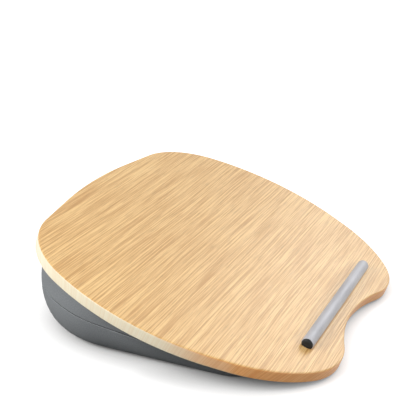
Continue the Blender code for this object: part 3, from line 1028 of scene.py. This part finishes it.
def seen_white(tree, lit, shown):
    """Shows one shader to the camera, to gloss and through glass, and lights with the other."""
    path = tree.nodes.new("ShaderNodeLightPath")
    share = path.outputs["Is Camera Ray"]
    for name in ("Is Glossy Ray", "Is Transmission Ray"):
        add = tree.nodes.new("ShaderNodeMath")
        add.operation = "MAXIMUM"
        tree.links.new(share, add.inputs[0])
        tree.links.new(path.outputs[name], add.inputs[1])
        share = add.outputs[0]
    mix = tree.nodes.new("ShaderNodeMixShader")
    for index, output in enumerate((share, lit, shown)):
        tree.links.new(output, mix.inputs[index])
    return mix.outputs[0]


def make_world():
    world = bpy.data.worlds.new("studio")
    bpy.context.scene.world = world
    world.use_nodes = True
    tree = world.node_tree
    lit = tree.nodes["Background"]
    shown = tree.nodes.new("ShaderNodeBackground")
    for node, strength in ((lit, world_strength), (shown, 1)):
        node.inputs["Color"].default_value = (1, 1, 1, 1)
        node.inputs["Strength"].default_value = strength
    output = tree.nodes["World Output"]
    tree.links.new(seen_white(tree, lit.outputs[0], shown.outputs[0]), output.inputs["Surface"])


def make_floor():
    """A white floor that keeps the lamps' shadows, with a painted contact shadow where ambient
    occlusion dims its glow near the object, and that throws little light up.
    """
    bm = bmesh.new()
    bmesh.ops.create_grid(bm, x_segments=1, y_segments=1, size=floor_size)
    bmesh.ops.translate(bm, verts=bm.verts, vec=(0, 0, -floor_drop))
    mesh = mesh_from(bm, "floor")
    floor = link("floor", mesh, smooth=False)
    material = bpy.data.materials.new("floor_look")
    material.use_nodes = True
    tree = material.node_tree
    tree.nodes.remove(tree.nodes["Principled BSDF"])
    lit, pale = (tree.nodes.new("ShaderNodeBsdfDiffuse") for _ in range(2))
    for node, level in ((lit, floor_bounce), (pale, floor_paint)):
        node.inputs["Color"].default_value = (level, level, level, 1)
    # Ambient occlusion dims the glow near the object: a painted contact shadow
    contact_shadow_paint = tree.nodes.new("ShaderNodeAmbientOcclusion")
    contact_shadow_paint.inputs["Distance"].default_value = floor_shade_reach
    glow = tree.nodes.new("ShaderNodeEmission")
    glow.inputs["Strength"].default_value = floor_glow
    tree.links.new(contact_shadow_paint.outputs["AO"], glow.inputs["Color"])
    both = tree.nodes.new("ShaderNodeAddShader")
    tree.links.new(pale.outputs[0], both.inputs[0])
    tree.links.new(glow.outputs[0], both.inputs[1])
    output = tree.nodes["Material Output"]
    tree.links.new(seen_white(tree, lit.outputs[0], both.outputs[0]), output.inputs["Surface"])
    mesh.materials.append(material)


make_camera()

board_corners = [
    (x * board_width / 2, v * board_depth, radius * board_width / 2)
    for x, v, radius in board_corner_shares
]
board_outline = rounded_outline(mirrored(board_corners), board_span)
board_rear = max(point.y for point, _ in board_outline) * math.cos(tilt)
board_front = min(point.y for point, _ in board_outline) * math.cos(tilt)
board_front -= board_thickness * math.sin(tilt)
origin_y = -(board_rear + board_front) / 2
board_place = Matrix.Translation((0, origin_y, board_front_gap)) @ Matrix.Rotation(tilt, 4, "X")

panel_top = -panel_drop
band_top = plane_height(panel_top - panel_thickness - clearance)
cushion_rear_y = (board_depth - cushion_rear_set_back) * math.cos(tilt) + origin_y
cushion_front_y = cushion_front_set_back * math.cos(tilt) + origin_y
cushion_corners = [
    (0, cushion_front_y + cushion_front_recess, cushion_corner_radii[0]),
    (board_width / 2 - cushion_front_side_overhang, cushion_front_y, cushion_corner_radii[1]),
    (board_width / 2 - cushion_rear_side_overhang, cushion_rear_y, cushion_corner_radii[2]),
]
cushion_outline = rounded_outline(mirrored(cushion_corners), cushion_span)
walls = [Wall(column) for column in cushion_outline]

rear_column = (Vector((0, cushion_rear_y)), Vector((0, -1)))
zip_middle = wall_place(rear_column, wall_height(rear_column, seam_height, 0), 0)
zip_place = Matrix.Translation(zip_middle) @ Matrix.Rotation(math.pi, 4, "Z")
zip_place = zip_place @ Matrix.Rotation(math.pi / 2, 4, "X")

make_wrap()
make_bar()
covers = make_covers(swollen_by(walls))
make_seam_thread()
make_top_cover()
make_foam()
make_window_stitches(*covers)

looks = {
    "fibreboard": speckled("fibreboard"),
    "backing_sheet": backing_sheet(),
    "adhesive": speckled("adhesive"),
    "hook_tape": hook_tape(),
    "loop_tape": speckled("loop_tape", Sheen_Weight=0.3),
    "zip_tape": zip_tape(),
    "zip_teeth": speckled("zip_teeth"),
    "zip_metal": speckled("zip_metal", Metallic=1.0),
}
for part in frame["record"]["subparts"]:
    slot = part["material_slot"]
    if slot in looks:
        node = dress(frame["nodes"][part["node"]], looks[slot])
        if slot in bevels:
            bevel = node.modifiers.new("worn_edges", "BEVEL")
            bevel.width = bevels[slot]
            bevel.segments = bevel_segments
            bevel.limit_method = "ANGLE"

make_world()
make_floor()
for light in lights:
    area_light(*light)
bpy.context.scene.view_settings.view_transform = "Standard"
